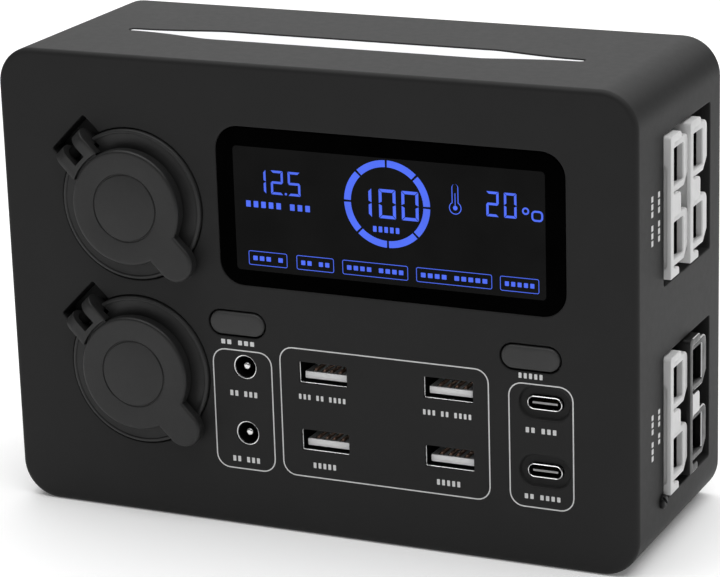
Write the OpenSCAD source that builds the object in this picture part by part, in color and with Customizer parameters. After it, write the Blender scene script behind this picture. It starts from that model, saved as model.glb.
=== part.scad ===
// Portable 12 V power station: a charcoal plastic box with two 12 V sockets under flip lids, a display,
// two push buttons, barrel, USB-A and USB-C ports, four 50 A connectors and a light strip on top.
// Millimetres. The origin is the centre of the flat base: X to the right, Y to the back, Z up.

/* [Body] */
// Width of the body
body_w = 177; // [177:1:182]
// Depth of the body, front to back
body_d = 64; // [64:1:70]
// Height of the body
body_h = 125; // [125:1:128]
// Radius of the four long corners
corner_r = 10; // [9:0.5:11]
// Radius along the edges of the front face
edge_r = 1.4; // [1:0.1:1.8]
// Thickness of the walls and of the rear cover
wall = 3; // [3:0.1:3.2]

/* [12 V sockets] */
// Distance of both sockets from the middle, to the left
socket_x = 50.3; // [50:0.1:50.6]
// Height of the upper socket's axis
upper_socket_z = 85.4; // [85.2:0.1:85.6]
// Height of the lower socket's axis
lower_socket_z = 40.2; // [40:0.1:40.4]
// Bore of the metal sleeve that takes a 12 V plug
socket_bore = 21; // [20.9:0.05:21.1]
// Outer diameter of the socket's front flange
flange_dia = 40.4; // [40:0.1:40.8]
// Diameter of the rubber lid
lid_dia = 31; // [30.6:0.1:31.2]
// How far the lid's face stands out of the front
lid_rise = 4.3; // [4.2:0.1:4.6]

/* [Display] */
// Width of the black display lens
lens_w = 95.2; // [94:0.1:96]
// Height of the black display lens
lens_h = 42.2; // [41:0.1:42.4]
// Middle of the lens, to the right of the body's middle
lens_x = 22.3; // [22:0.1:22.6]
// Height of the lens's middle
lens_z = 87.6; // [87.4:0.1:87.8]

/* [Buttons] */
// Width of each button's face
button_w = 15.6; // [15:0.1:15.8]
// Height of each button's face
button_h = 6.2; // [6:0.1:6.3]
// How far each button can be pressed in
button_travel = 0.5; // [0.3:0.1:0.5]

/* [Ports] */
// Height of the upper row of ports
upper_row_z = 44.2; // [44:0.1:44.4]
// Height of the lower row of ports
lower_row_z = 25.9; // [25.7:0.1:26.1]
// Distance of the barrel jacks from the middle, to the left
jack_x = 19.5; // [19.3:0.1:19.7]
// Radius of each barrel jack's front
jack_r = 3.4; // [3.3:0.05:3.5]

/* [50 A connectors] */
// Thickness of one connector
connector_t = 15.1; // [15:0.1:15.1]
// Height of one connector's face
connector_h = 36.5; // [36.4:0.1:36.6]
// Length of one connector
connector_l = 47.8; // [46:0.2:48]
// How far the connectors stand out of the side
connector_rise = 1.8; // [1.6:0.1:2]

/* [Light] */
// Length of the light strip
strip_l = 129; // [126:1:130]
// Width of the light strip at its middle
strip_w = 10; // [9:0.5:10.5]

/* [Hidden] */
$fn = 48;
front = -body_d/2;
back = body_d/2;
side = body_w/2;
inner_front = front + wall;
clear = 0.15;

// Sockets, measured outwards from the front face
pocket_depth = 3.4;
hinge_pocket_depth = 6.4;
boss_depth = 8;
hinge_end = 25.6;
hinge_half = 6.9;
barrel_r = 13.9;
barrel_end = -38;
sleeve_wall = 1.5;
sleeve_front = -1.5;
sleeve_end = -33;
insulator_front = -35;
collar_r = 14.6;
pin_r = 1;
pin_at = [20.2, 0.9];
hinge_shift = 0.8;
knuckle_r = 3.2;
strap_half = 5.15;
slot_half = 1.9;
slot_start = 17.1;
lug_half = 1.6;
lug_r = 1.7;
tab_at = 19.4;
tab_r = 5.1;
plug_end = -1.4;

// Boards, measured as y
board_y = -19;
board_t = 1.6;
power_board_y = 22;

// Side pockets and their connectors
pocket_y0 = front + 19.2;
pocket_y1 = front + 55.6;
pocket_in = 9;
tray_t = 1.2;
connector_y0 = front + 19.4;
connector_pitch = connector_t + 0.1;
upper_pair_z = 73;
lower_pair_z = 15.9;
pair_room = [1.8, 0.5];
tube_s = [4, 11.6];
tube_t = [[4.1, 13.5], [23.1, 32.5]];
tube_depth = 22;
hood_depth = 8;
tube_set_back = 0.7;
blade_s = [9.4, 10.9];
connector_back = side + connector_rise - connector_l;
bar_gap = [3, 7];
bar_t = 2;

standoffs = [[-27.5, 111], [72, 111], [-27.5, 11], [72, 11]];
cover_screws = [[-81, 7.5], [81, 7.5], [-82.5, 62.5], [82.5, 62.5], [-81, 117.5], [81, 117.5]];
usb_a_at = [[2.9, upper_row_z + 0.4], [37.8, upper_row_z + 0.3], [3, lower_row_z + 0.3], [37.8, lower_row_z + 0.2]];
// The outside of each USB-A shell, and how deep the housing's narrower lip over its edge is
usb_a_size = [13.8, 6.1];
usb_a_lip = 0.5;
usb_c_at = [[63.8, upper_row_z - 0.4], [63.7, lower_row_z - 0.1]];
jack_at = [[-jack_x, upper_row_z - 0.1], [-jack_x, lower_row_z]];
button_at = [[-21.2, 55.8], [60.2, 55.4]];
socket_at = [[-socket_x, upper_socket_z], [-socket_x, lower_socket_z]];
connector_at = [
    [connector_y0, upper_pair_z],
    [connector_y0 + connector_pitch, upper_pair_z],
    [connector_y0, lower_pair_z],
    [connector_y0 + connector_pitch, lower_pair_z]
];
strip_y = -2.9;
lead_dia = 4.2;
last_step = [0, 1.5, 0];
side_screw_at = [front + 17.7, 14.8];

charcoal = [0.15, 0.15, 0.16];
black = [0.04, 0.04, 0.045];
rubber = [0.09, 0.09, 0.095];
silver = [0.75, 0.75, 0.76];
light_grey = [0.8, 0.8, 0.82];
green = [0.05, 0.25, 0.12];
copper = [0.8, 0.45, 0.25];

// ---- helpers ----

// A rectangle with four round corners, centred
module rounded_rect(w, h, r) {
    square([w - 2*r, h], center = true);
    square([w, h - 2*r], center = true);
    for (x = [-1, 1], y = [-1, 1])
        translate([x*(w/2 - r), y*(h/2 - r)]) circle(r);
}

// A long slot with two round ends, centred
module stadium(w, h) {
    square([w - h, h], center = true);
    for (x = [-1, 1]) translate([x*(w/2 - h/2), 0]) circle(h/2);
}

// Puts children drawn in X and Y, with Z outwards, on the front face at [x, z]
module on_front(at) {
    translate([at[0], front, at[1]]) rotate([90, 0, 0]) children();
}

// As on_front, turned so that X runs from the socket's axis towards its hinge
module on_socket(at) {
    on_front(at) rotate([0, 0, 135]) children();
}

// A block between two corners
module block(low, high) {
    translate(low) cube(high - low);
}

// A cylinder along a socket's hinge axis, reaching half each way from the strap's middle
module along_hinge(half, r) {
    translate([pin_at[0], hinge_shift + half, pin_at[1]]) rotate([90, 0, 0]) cylinder(h = 2*half, r = r);
}

// A block between two heights and two distances from the socket's axis, as wide as half each way
module hinge_block(a0, a1, half, h0, h1) {
    block([a0, hinge_shift - half, h0], [a1, hinge_shift + half, h1]);
}

// Outline of the light strip: parallel in the middle, tapering to two round tips
module strip_outline(l, w) {
    tip = 1.2;
    straight = l*0.31;
    taper = l/2 - tip;
    half = w/2;
    polygon([
        [-straight, half], [straight, half], [taper, tip], [taper, -tip],
        [straight, -half], [-straight, -half], [-taper, -tip], [-taper, tip]
    ]);
    for (x = [-1, 1]) translate([x*taper, 0]) circle(tip);
}

// A tube with round ends of its own, swept along points chosen by hand
module lead(route, dia) {
    sides = 10;
    count = len(route);
    function along(i) = route[min(i + 1, count - 1)] - route[max(i - 1, 0)];
    function unit(v) = v/norm(v);
    function across(i) = unit(cross(along(i), [0.31, 0.2, 1]));
    function up(i) = unit(cross(across(i), along(i)));
    rings = [
        for (i = [0:count - 1], k = [0:sides - 1])
            route[i] + dia/2*(cos(360*k/sides)*across(i) + sin(360*k/sides)*up(i))
    ];
    walls = [
        for (i = [0:count - 2], k = [0:sides - 1])
            [i*sides + k, i*sides + (k + 1) % sides, (i + 1)*sides + (k + 1) % sides, (i + 1)*sides + k]
    ];
    ends = [
        [for (k = [sides - 1:-1:0]) k],
        [for (k = [0:sides - 1]) (count - 1)*sides + k]
    ];
    polyhedron(rings, concat(walls, ends));
}

// A smooth curve through four control points, for the leads
function bend(a, b, c, d, steps) = [
    for (i = [0:steps])
        let (t = i/steps, u = 1 - t)
        u*u*u*a + 3*u*u*t*b + 3*u*t*t*c + t*t*t*d
];

// ---- housing and covers ----

module body_blank() {
    intersection() {
        translate([0, back, body_h/2]) rotate([90, 0, 0])
            linear_extrude(body_d) rounded_rect(body_w, body_h, corner_r);
        translate([-side, 0, 0]) rotate([90, 0, 90]) linear_extrude(body_w) {
            block_2d([front + edge_r, 0], [back, body_h]);
            block_2d([front, edge_r], [back, body_h - edge_r]);
            for (z = [edge_r, body_h - edge_r]) translate([front + edge_r, z]) circle(edge_r);
        }
        linear_extrude(body_h) {
            block_2d([-side, front + edge_r], [side, back]);
            block_2d([-side + edge_r, front], [side - edge_r, back]);
            for (x = [-1, 1]) translate([x*(side - edge_r), front + edge_r]) circle(edge_r);
        }
    }
}

module block_2d(low, high) {
    translate(low) square(high - low);
}

// The hollow inside of the housing, open at the back
module body_hollow() {
    translate([0, back + 1, body_h/2]) rotate([90, 0, 0])
        linear_extrude(body_d + 1 - wall) rounded_rect(body_w - 2*wall, body_h - 2*wall, corner_r - wall);
}

// The solid behind one socket that holds its flange and hinge
module socket_boss(at) {
    on_socket(at) translate([0, 0, -boss_depth]) {
        cylinder(h = boss_depth - edge_r, r = flange_dia/2 + 2.3);
        block([0, -hinge_half - 2, 0], [hinge_end + 2, hinge_half + 2, boss_depth - edge_r]);
    }
}

module socket_cut(at) {
    on_socket(at) {
        translate([0, 0, -pocket_depth]) cylinder(h = pocket_depth + 2, r = flange_dia/2 + 2*clear);
        translate([0, 0, -boss_depth - 1]) cylinder(h = boss_depth + 2, r = barrel_r + clear);
        block([10, -hinge_half, -hinge_pocket_depth], [hinge_end, hinge_half, 2]);
    }
}

module port_cuts() {
    lens_ledge = 3;
    lens_pocket = 1.8;
    on_front([lens_x, lens_z]) {
        translate([0, 0, -lens_pocket]) linear_extrude(3) rounded_rect(lens_w, lens_h, 6.5);
        translate([0, 0, -wall - 1]) linear_extrude(5)
            rounded_rect(lens_w - 2*lens_ledge, lens_h - 2*lens_ledge, 3.5);
    }
    for (at = button_at) on_front(at) translate([0, 0, -wall - 1]) linear_extrude(5)
        stadium(button_w + 0.5, button_h + 0.5);
    for (at = jack_at) on_front(at) translate([0, 0, -wall - 1]) cylinder(h = 5, r = jack_r + 0.1);
    for (at = usb_a_at) on_front(at) {
        translate([0, 0, -1]) linear_extrude(3) square(usb_a_size - [0.3, 0.35], center = true);
        translate([0, 0, -wall - 1]) linear_extrude(wall + 1 - usb_a_lip)
            square(usb_a_size + [0.3, 0.3], center = true);
    }
    for (at = usb_c_at) on_front(at) {
        translate([0, 0, -1.2]) linear_extrude(3) stadium(13.6, 8.4);
        translate([0, 0, -wall - 1]) linear_extrude(5) stadium(9.5, 3.8);
    }
}

module side_cuts() {
    for (z = [upper_pair_z, lower_pair_z])
        block([side - wall - 1, pocket_y0, z - pair_room[0]], [side + 1, pocket_y1, z + connector_h + pair_room[1]]);
    translate([side + 1, side_screw_at[0], side_screw_at[1]]) rotate([0, -90, 0]) cylinder(h = wall + 2, r = 1.1);
}

module housing() {
    color(charcoal) difference() {
        union() {
            difference() {
                body_blank();
                body_hollow();
            }
            for (at = socket_at) socket_boss(at);
            for (at = standoffs)
                on_front(at) translate([0, 0, front - board_y]) cylinder(h = board_y - front - 1, r = 3);
            intersection() {
                body_blank();
                for (at = cover_screws)
                    translate([at[0], back - wall, at[1]]) rotate([90, 0, 0])
                        cylinder(h = body_d - 2*wall + 1, r = 3.5);
            }
        }
        for (at = socket_at) socket_cut(at);
        port_cuts();
        side_cuts();
        translate([0, strip_y, body_h - wall - 1]) linear_extrude(wall + 2) strip_outline(strip_l, strip_w);
        for (at = cover_screws)
            translate([at[0], back - wall + 1, at[1]]) rotate([90, 0, 0]) cylinder(h = 13, r = 1.25);
        for (at = standoffs)
            on_front(at) translate([0, 0, front - board_y - 1]) cylinder(h = 8, r = 1);
    }
}

module rear_cover() {
    gap = 2*wall + 2*clear;
    color(charcoal) difference() {
        union() {
            translate([0, back, body_h/2]) rotate([90, 0, 0])
                linear_extrude(wall) rounded_rect(body_w - gap, body_h - gap, corner_r - wall);
            for (x = [-24, 30], z = [16, 108])
                translate([x, back - wall + 0.5, z]) rotate([90, 0, 0])
                    cylinder(h = back - wall + 0.5 - power_board_y - board_t, r = 3);
        }
        for (at = cover_screws) translate([at[0], back + 1, at[1]]) rotate([90, 0, 0]) {
            cylinder(h = wall + 2, r = 1.7);
            cylinder(h = 2.8, r = 3.1);
        }
        for (x = [-24, 30], z = [16, 108])
            translate([x, back - wall + 1, z]) rotate([90, 0, 0]) cylinder(h = 8, r = 1);
    }
}

// A pan-head machine screw with a slotted head, its head's underside at z = 0 and its shank below
module slotted_screw(head_r, head_h, shank_r, shank_l) {
    difference() {
        union() {
            cylinder(h = head_h, r = head_r);
            translate([0, 0, -shank_l]) cylinder(h = shank_l + 0.1, r = shank_r);
        }
        translate([-head_r - 1, -0.35, head_h*0.5]) cube([2*head_r + 2, 0.7, head_h]);
    }
}

module cover_screws() {
    color(black) for (at = cover_screws)
        translate([at[0], back - 1.8, at[1]]) rotate([-90, 0, 0]) slotted_screw(2.9, 1.6, 1.2, 8);
}

module side_screw() {
    color(black) translate([side, side_screw_at[0], side_screw_at[1]])
        rotate([0, 90, 0]) rotate([0, 0, -45]) slotted_screw(1.9, 1.2, 1, 5);
}

// ---- light ----

module light_diffuser() {
    color("white") {
        translate([0, strip_y, body_h - wall - 0.01]) linear_extrude(wall - 0.29)
            strip_outline(strip_l - 0.2, strip_w - 0.2);
        block([-67, strip_y - 7, body_h - wall - 1.2], [67, strip_y + 7, body_h - wall]);
    }
}

module light_board() {
    top = body_h - wall - 1.2;
    color(green) {
        block([-65, strip_y - 5, top - 3.4], [65, strip_y + 5, top - 1.8]);
        for (x = [-63, 61]) block([x, strip_y - 5, top - 1.9], [x + 2, strip_y + 5, top]);
    }
    color("ivory") for (k = [0:15])
        block([-56.5 + k*7.3, strip_y - 1.4, top - 1.9], [-53 + k*7.3, strip_y + 1.4, top - 1]);
}

// ---- display and buttons ----

module display_lens() {
    color(black) on_front([lens_x, lens_z]) translate([0, 0, -1.8])
        linear_extrude(1.7) rounded_rect(lens_w - 0.2, lens_h - 0.2, 6.4);
}

module display_module() {
    color([0.2, 0.22, 0.25]) block([lens_x - 45, inner_front, lens_z - 20], [lens_x + 45, board_y, lens_z + 20]);
}

module button(at) {
    lip = 1;
    color([0.24, 0.24, 0.25]) on_front(at) {
        translate([0, 0, -wall - 0.1]) linear_extrude(wall + 0.5) stadium(button_w, button_h);
        translate([0, 0, -wall - 1.2]) linear_extrude(1.15) stadium(button_w + 2*lip, button_h + 2*lip);
    }
}

module switch(at) {
    stem_top = -wall - 1.2 - button_travel - 0.1;
    floor = front - board_y;
    on_front(at) {
        color(black) translate([-3, -3, floor]) cube([6, 6, 3.6]);
        color(light_grey) translate([0, 0, floor + 3.5]) cylinder(h = stem_top - floor - 3.5, r = 1.7);
    }
}

module power_button() { button(button_at[0]); }
module light_button() { button(button_at[1]); }
module power_switch() { switch(button_at[0]); }
module light_switch() { switch(button_at[1]); }

// ---- 12 V sockets ----

// Flange, barrel and hinge lug in one moulding: the section is radius and height above the face
module flange(at) {
    rim = flange_dia/2;
    knuckle_gap = 0.3;
    lip_back = 0.7;
    color(rubber) on_socket(at) difference() {
        union() {
            difference() {
                rotate_extrude() polygon([
                    [barrel_r, -pocket_depth], [rim, -pocket_depth], [rim, 0.4], [rim - 0.4, 0.8], [rim - 1.1, 0.65],
                    [collar_r + 1.4, 0.1], [collar_r + 0.4, -0.1], [collar_r, -0.1], [collar_r, 0.1],
                    [socket_bore/2 + lip_back, 0.1], [socket_bore/2 + lip_back, sleeve_front],
                    [socket_bore/2 + sleeve_wall + 0.1, sleeve_front],
                    [socket_bore/2 + sleeve_wall + 0.1, barrel_end], [barrel_r, barrel_end]
                ]);
                difference() {
                    along_hinge(strap_half + knuckle_gap, knuckle_r + knuckle_gap);
                    along_hinge(lug_half, knuckle_r + 1);
                }
            }
            along_hinge(lug_half, lug_r);
            hinge_block(pin_at[0] - lug_r, pin_at[0] + lug_r, lug_half, -hinge_pocket_depth + 0.1, pin_at[1]);
        }
        along_hinge(lug_half + 1, pin_r + 0.02);
    }
}

module sleeve(at) {
    color(silver) on_socket(at) translate([0, 0, sleeve_end]) difference() {
        cylinder(h = sleeve_front - sleeve_end, r = socket_bore/2 + sleeve_wall);
        translate([0, 0, -1]) cylinder(h = sleeve_front - sleeve_end + 2, r = socket_bore/2);
    }
}

module contact(at) {
    on_socket(at) {
        color(black) translate([0, 0, barrel_end])
            cylinder(h = insulator_front - barrel_end, r = socket_bore/2 + sleeve_wall);
        color("gold") translate([0, 0, insulator_front - 0.1]) cylinder(h = 1.8, r1 = 3.6, r2 = 2.2);
        color("gold") translate([-3.2, -0.4, barrel_end - 8]) cube([6.4, 0.8, 8.1]);
    }
}

module nut(at) {
    grips = 12;
    color(black) on_socket(at) translate([0, 0, -boss_depth - 5]) difference() {
        cylinder(h = 5, r = 17.6);
        translate([0, 0, -1]) cylinder(h = 7, r = barrel_r + 0.1);
        for (k = [0:grips - 1]) rotate([0, 0, 360*k/grips]) translate([18.4, 0, -1]) cylinder(h = 7, r = 1.5);
    }
}

// Rubber lid: a disc with a pull tab, and a strap that ends in two knuckles around the hinge pin
module lid(at) {
    under = 0.3;
    strap_under = 1.3;
    strap_top = pin_at[1] + knuckle_r;
    knuckle_end = [pin_at[0] - 2.2, -2.3];
    color(rubber) on_socket(at) difference() {
        union() {
            translate([0, 0, under]) cylinder(h = lid_rise - under, r = lid_dia/2);
            translate([0, 0, plug_end]) cylinder(h = 2, r = socket_bore/2 - 0.7);
            translate([-tab_at, 0, strap_under]) cylinder(h = lid_rise - strap_under, r = tab_r);
            block([-tab_at, -tab_r, strap_under], [0, tab_r, lid_rise]);
            hinge_block(lid_dia/3, pin_at[0], strap_half, strap_under, strap_top);
            intersection() {
                along_hinge(strap_half, knuckle_r);
                hinge_block(knuckle_end[0], hinge_end, strap_half, knuckle_end[1], strap_top);
            }
        }
        translate([0, 0, lid_rise - 0.5]) difference() {
            cylinder(h = 1, r = 9.3);
            translate([0, 0, -1]) cylinder(h = 3, r = 8.7);
        }
        hinge_block(slot_start, hinge_end, slot_half, knuckle_end[1] - 1, strap_top + 1);
        along_hinge(strap_half + 1, pin_r + 0.05);
        translate([0, 0, plug_end - 1]) cylinder(h = 3, r = socket_bore/2 - 2.4);
    }
}

module hinge_pin(at) {
    color(silver) on_socket(at) along_hinge(strap_half - 0.2, pin_r);
}

module upper_flange() { flange(socket_at[0]); }
module upper_sleeve() { sleeve(socket_at[0]); }
module upper_contact() { contact(socket_at[0]); }
module upper_nut() { nut(socket_at[0]); }
module upper_lid() { lid(socket_at[0]); }
module upper_pin() { hinge_pin(socket_at[0]); }
module lower_flange() { flange(socket_at[1]); }
module lower_sleeve() { sleeve(socket_at[1]); }
module lower_contact() { contact(socket_at[1]); }
module lower_nut() { nut(socket_at[1]); }
module lower_lid() { lid(socket_at[1]); }
module lower_pin() { hinge_pin(socket_at[1]); }

// ---- ports ----

module jack_body(at) {
    floor = front - board_y;
    color(black) on_front(at) difference() {
        union() {
            translate([0, 0, floor]) cylinder(h = -0.4 - floor, r = jack_r);
            block([-4.5, -5.5, floor], [4.5, 5.5, -wall - 0.2]);
        }
        translate([0, 0, -10]) cylinder(h = 12, r = 3.05);
    }
}

module jack_pin(at) {
    color(silver) on_front(at) translate([0, 0, -10]) {
        cylinder(h = 8.3, r = 1.05);
        translate([0, 0, 8.3]) cylinder(h = 0.6, r1 = 1.05, r2 = 0.6);
    }
}

module usb_a_shell(at) {
    floor = front - board_y;
    shell_t = 0.3;
    color(silver) on_front(at) translate([0, 0, floor]) linear_extrude(-usb_a_lip - 0.1 - floor) difference() {
        square(usb_a_size, center = true);
        square(usb_a_size - 2*[shell_t, shell_t], center = true);
    }
}

module usb_a_tongue(at) {
    floor = front - board_y;
    on_front(at) {
        color("white") {
            block([-6.2, -2.55, floor], [6.2, 2.55, -9.9]);
            block([-5.9, -2.1, -10], [5.9, -0.2, -2]);
        }
        color(copper) for (x = [-3.5, -1, 1, 3.5]) block([x - 0.6, -0.3, -9.95], [x + 0.6, 0, -2.6]);
    }
}

module usb_c_shell(at) {
    floor = front - board_y;
    color(silver) on_front(at) translate([0, 0, floor]) linear_extrude(-0.1 - floor) difference() {
        stadium(9.3, 3.6);
        stadium(8.7, 3);
    }
}

module usb_c_tongue(at) {
    floor = front - board_y;
    color(black) on_front(at) {
        translate([0, 0, floor]) linear_extrude(-6.6 - floor) stadium(8.45, 2.75);
        block([-3.4, -0.35, -6.7], [3.4, 0.35, -0.5]);
    }
}

module upper_jack_body() { jack_body(jack_at[0]); }
module upper_jack_pin() { jack_pin(jack_at[0]); }
module lower_jack_body() { jack_body(jack_at[1]); }
module lower_jack_pin() { jack_pin(jack_at[1]); }

// ---- 50 A connectors ----

// A black open-fronted tray behind one side opening, with a window for the connector pair
module tray(z0) {
    low = [side - wall - pocket_in, pocket_y0 - tray_t, z0 - pair_room[0] - tray_t];
    high = [side - wall, pocket_y1 + tray_t, z0 + connector_h + pair_room[1] + tray_t];
    pair = 2*connector_t + 0.1;
    color(black) difference() {
        block(low, high);
        block(low + [tray_t, tray_t, tray_t], [side, pocket_y1, z0 + connector_h + pair_room[1]]);
        block([0, connector_y0 - 0.05, z0 - 0.05], [side, connector_y0 + pair + 0.05, z0 + connector_h + 0.05]);
    }
}

// The lower tray, with a lug that takes the side screw
module screwed_tray() {
    lug = 3.6;
    color(black) difference() {
        union() {
            tray(lower_pair_z);
            block([side - wall - 5, pocket_y0 - tray_t - lug, side_screw_at[1] - 2],
                  [side - wall, pocket_y0 - tray_t + 0.1, side_screw_at[1] + 2]);
        }
        translate([side, side_screw_at[0], side_screw_at[1]]) rotate([0, -90, 0]) cylinder(h = wall + 6, r = 1.05);
    }
}

// Puts children drawn as X outwards, Y across and Z up at a connector's corner, X = 0 at its face
module at_connector(at) {
    translate([side + connector_rise, at[0], at[1]]) children();
}

module connector(at) {
    color(light_grey) at_connector(at) difference() {
        union() {
            block([-connector_l, 0, 0], [-hood_depth, connector_t, connector_h]);
            block([-hood_depth - 1, 0, 0], [0, 2.2, connector_h]);
            block([-hood_depth - 1, 0, connector_h - 2], [0, 8.3, connector_h]);
            block([-hood_depth - 1, 0, 15.4], [0, 7.8, 21.2]);
            block([-hood_depth - 1, 0, 0], [0, 6.4, 2]);
            for (t = tube_t)
                translate([-tube_set_back, (2.4 + connector_t)/2, (t[0] + t[1])/2]) rotate([0, -90, 0])
                    linear_extrude(hood_depth) rounded_rect(t[1] - t[0] + 3.6, connector_t - 2.4, 2);
        }
        for (t = tube_t) {
            block([-tube_depth, tube_s[0], t[0]], [1, tube_s[1], t[1]]);
            block([-connector_l - 1, blade_s[0] - 0.1, t[0] + 0.4], [-tube_depth + 1, blade_s[1] + 0.1, t[1] - 0.4]);
        }
    }
}

// Two silver blades that run on behind the connector to the bus bars: [lower pole, upper pole]
module contacts(at) {
    tails = bar_gap;
    color(silver) at_connector(at) for (k = [0, 1])
        block([-connector_l - tails[k], blade_s[0], tube_t[k][0] + 0.5], [-4, blade_s[1], tube_t[k][1] - 0.5]);
}

// A flat bar that joins one pole of all four connectors, at depth x, with its strip at y
module bus_bar(x, y, pole) {
    arm_h = 6;
    mid = (tube_t[pole][0] + tube_t[pole][1])/2;
    low = lower_pair_z + mid;
    high = upper_pair_z + mid;
    color(copper) {
        block([x - bar_t, y, low - arm_h/2], [x, y + 6, high + arm_h/2]);
        for (z = [low, high]) block([x - bar_t, -6, z - arm_h/2], [x, 19, z + arm_h/2]);
    }
}

module negative_bar() { bus_bar(connector_back - bar_gap[0], 14, 0); }
module positive_bar() { bus_bar(connector_back - bar_gap[1], -6, 1); }

// ---- electronics ----

module main_board() {
    color(green) difference() {
        block([-31, board_y, 7], [75.5, board_y + board_t, 114.5]);
        for (at = standoffs) translate([at[0], 0, at[1]]) rotate([90, 0, 0]) cylinder(h = 40, r = 1.3);
    }
}

module board_screws() {
    color(silver) {
        for (at = standoffs)
            translate([at[0], board_y + board_t, at[1]]) rotate([-90, 0, 0]) slotted_screw(2.4, 1.4, 0.95, 6);
        for (x = [-24, 30], z = [16, 108])
            translate([x, power_board_y, z]) rotate([90, 0, 0]) slotted_screw(2.4, 1.4, 0.95, 6);
    }
}

module power_board() {
    color(green) difference() {
        block([-30, power_board_y, 11], [36, power_board_y + board_t, 113]);
        for (x = [-24, 30], z = [16, 108])
            translate([x, power_board_y + 3, z]) rotate([90, 0, 0]) cylinder(h = 6, r = 1.3);
    }
}

module inductors() {
    color([0.25, 0.24, 0.22]) for (z = [28, 46, 64, 82])
        block([-20, power_board_y - 8, z], [-7, power_board_y, z + 13]);
}

module capacitors() {
    color([0.15, 0.2, 0.35]) for (z = [32, 46, 60, 74, 88])
        translate([1, power_board_y, z]) rotate([90, 0, 0]) cylinder(h = 13, r = 5);
}

module heat_sink() {
    fins = 8;
    color([0.6, 0.6, 0.62]) {
        block([8, power_board_y - 2.5, 30], [32, power_board_y, 92]);
        for (k = [0:fins - 1])
            block([8 + k*3.2, power_board_y - 14, 30], [9.4 + k*3.2, power_board_y - 2.4, 92]);
    }
}

module positive_lead() {
    start = [connector_back - bar_gap[1] - bar_t, -3, upper_pair_z + 27.8];
    end = [20, power_board_y, 104];
    color("firebrick") lead(concat(bend(start, start - [8, 0, 0], [20, 2, 104], end - last_step, 20), [end]), lead_dia);
}

module negative_lead() {
    start = [connector_back - bar_gap[0] - bar_t, 17, lower_pair_z + 8.8];
    end = [16, power_board_y, 22];
    color(black) lead(concat(bend(start, start - [8, 0, 0], [16, 12, 22], end - last_step, 20), [end]), lead_dia);
}

housing();
rear_cover();
cover_screws();
light_diffuser();
light_board();
display_lens();
display_module();
power_button();
light_button();
power_switch();
light_switch();
upper_flange();
upper_sleeve();
upper_contact();
upper_nut();
upper_lid();
upper_pin();
lower_flange();
lower_sleeve();
lower_contact();
lower_nut();
lower_lid();
lower_pin();
upper_jack_body();
upper_jack_pin();
lower_jack_body();
lower_jack_pin();
usb_a_shell(usb_a_at[0]);  // usb_a_shell_1
usb_a_tongue(usb_a_at[0]);  // usb_a_tongue_1
usb_a_shell(usb_a_at[1]);  // usb_a_shell_2
usb_a_tongue(usb_a_at[1]);  // usb_a_tongue_2
usb_a_shell(usb_a_at[2]);  // usb_a_shell_3
usb_a_tongue(usb_a_at[2]);  // usb_a_tongue_3
usb_a_shell(usb_a_at[3]);  // usb_a_shell_4
usb_a_tongue(usb_a_at[3]);  // usb_a_tongue_4
usb_c_shell(usb_c_at[0]);  // usb_c_shell_1
usb_c_tongue(usb_c_at[0]);  // usb_c_tongue_1
usb_c_shell(usb_c_at[1]);  // usb_c_shell_2
usb_c_tongue(usb_c_at[1]);  // usb_c_tongue_2
tray(upper_pair_z);  // upper_tray
screwed_tray();  // lower_tray
connector(connector_at[0]);  // connector_1
connector(connector_at[1]);  // connector_2
connector(connector_at[2]);  // connector_3
connector(connector_at[3]);  // connector_4
contacts(connector_at[0]);  // contacts_1
contacts(connector_at[1]);  // contacts_2
contacts(connector_at[2]);  // contacts_3
contacts(connector_at[3]);  // contacts_4
side_screw();
main_board();
board_screws();
power_board();
inductors();
capacitors();
heat_sink();
positive_bar();
negative_bar();
positive_lead();
negative_lead();
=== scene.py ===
"""Looks of the power station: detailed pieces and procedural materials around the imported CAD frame."""

import math

import bmesh
import bpy
from mathutils import Matrix, Vector, geometry


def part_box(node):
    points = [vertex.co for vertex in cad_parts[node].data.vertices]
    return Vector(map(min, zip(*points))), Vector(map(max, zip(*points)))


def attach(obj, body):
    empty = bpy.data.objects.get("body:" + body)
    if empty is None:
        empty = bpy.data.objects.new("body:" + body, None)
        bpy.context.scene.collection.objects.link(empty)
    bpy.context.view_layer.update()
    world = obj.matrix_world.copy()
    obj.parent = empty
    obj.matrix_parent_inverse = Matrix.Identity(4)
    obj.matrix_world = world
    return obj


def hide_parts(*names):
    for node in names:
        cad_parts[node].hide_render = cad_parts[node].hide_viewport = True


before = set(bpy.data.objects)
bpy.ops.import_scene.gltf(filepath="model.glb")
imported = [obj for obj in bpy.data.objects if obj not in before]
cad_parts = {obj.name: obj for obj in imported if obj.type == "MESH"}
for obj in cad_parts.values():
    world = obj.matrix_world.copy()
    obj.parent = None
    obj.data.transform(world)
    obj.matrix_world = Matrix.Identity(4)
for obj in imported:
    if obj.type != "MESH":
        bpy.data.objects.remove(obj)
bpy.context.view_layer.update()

MM = 0.001          # shapes are drawn in millimetres
SUPPORT = 0.3       # narrow flat ring beside a rounded edge, which keeps the flat's shading flat
WELD = 0.0005       # points closer than this are merged
PRINT_H = 0.03      # thickness of printed marks


# ---- what the frame says ----

def box(node):
    """A CAD node's lowest and highest corners in millimetres."""
    low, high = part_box(node)
    return low/MM, high/MM


def centre(node):
    low, high = box(node)
    return (low + high)/2


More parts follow.
